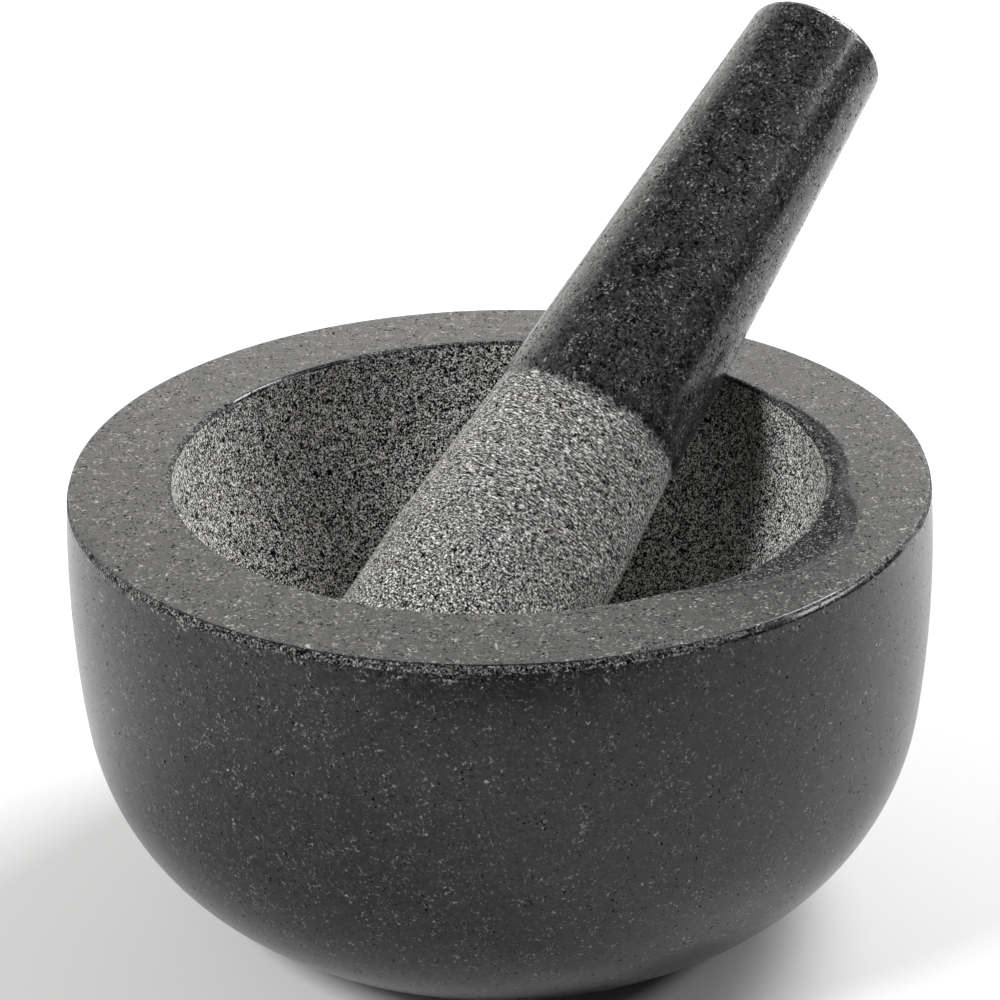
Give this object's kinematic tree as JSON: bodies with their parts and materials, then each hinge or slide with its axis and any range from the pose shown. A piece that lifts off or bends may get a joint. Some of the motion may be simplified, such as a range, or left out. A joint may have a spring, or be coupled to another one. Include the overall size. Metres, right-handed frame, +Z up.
{
  "type": "mortar and pestle",
  "caption": "Round stone mortar with a thick flat rim, a ground hollow and a shallow pouring scoop, and a loose tapered stone pestle leaning in it for crushing spices by hand.",
  "frame": {"origin": "centre of the mortar's flat base, on the surface it stands on", "axes": "+Z up along the mortar's axis; the pouring scoop is on the +X side, turned 36 degrees towards -Y; the pestle leans towards +X and +Y"},
  "size_m": [0.1516, 0.1642, 0.142],
  "materials": {
    "mortar_stone": "charcoal granite, polished outside and on the rim, ground rough in the hollow",
    "pestle_stone": "charcoal granite, polished handle, rough ground head"
  },
  "bodies": {
    "mortar": {"mortar_bowl": "mortar_stone"},
    "pestle": {"pestle": "pestle_stone"}
  },
  "joints": [
    {"name": "pestle_lift", "type": "slide", "parent": "mortar", "child": "pestle", "axis": [0, 0, 1], "range_m": [0, 0.1]}
  ]
}
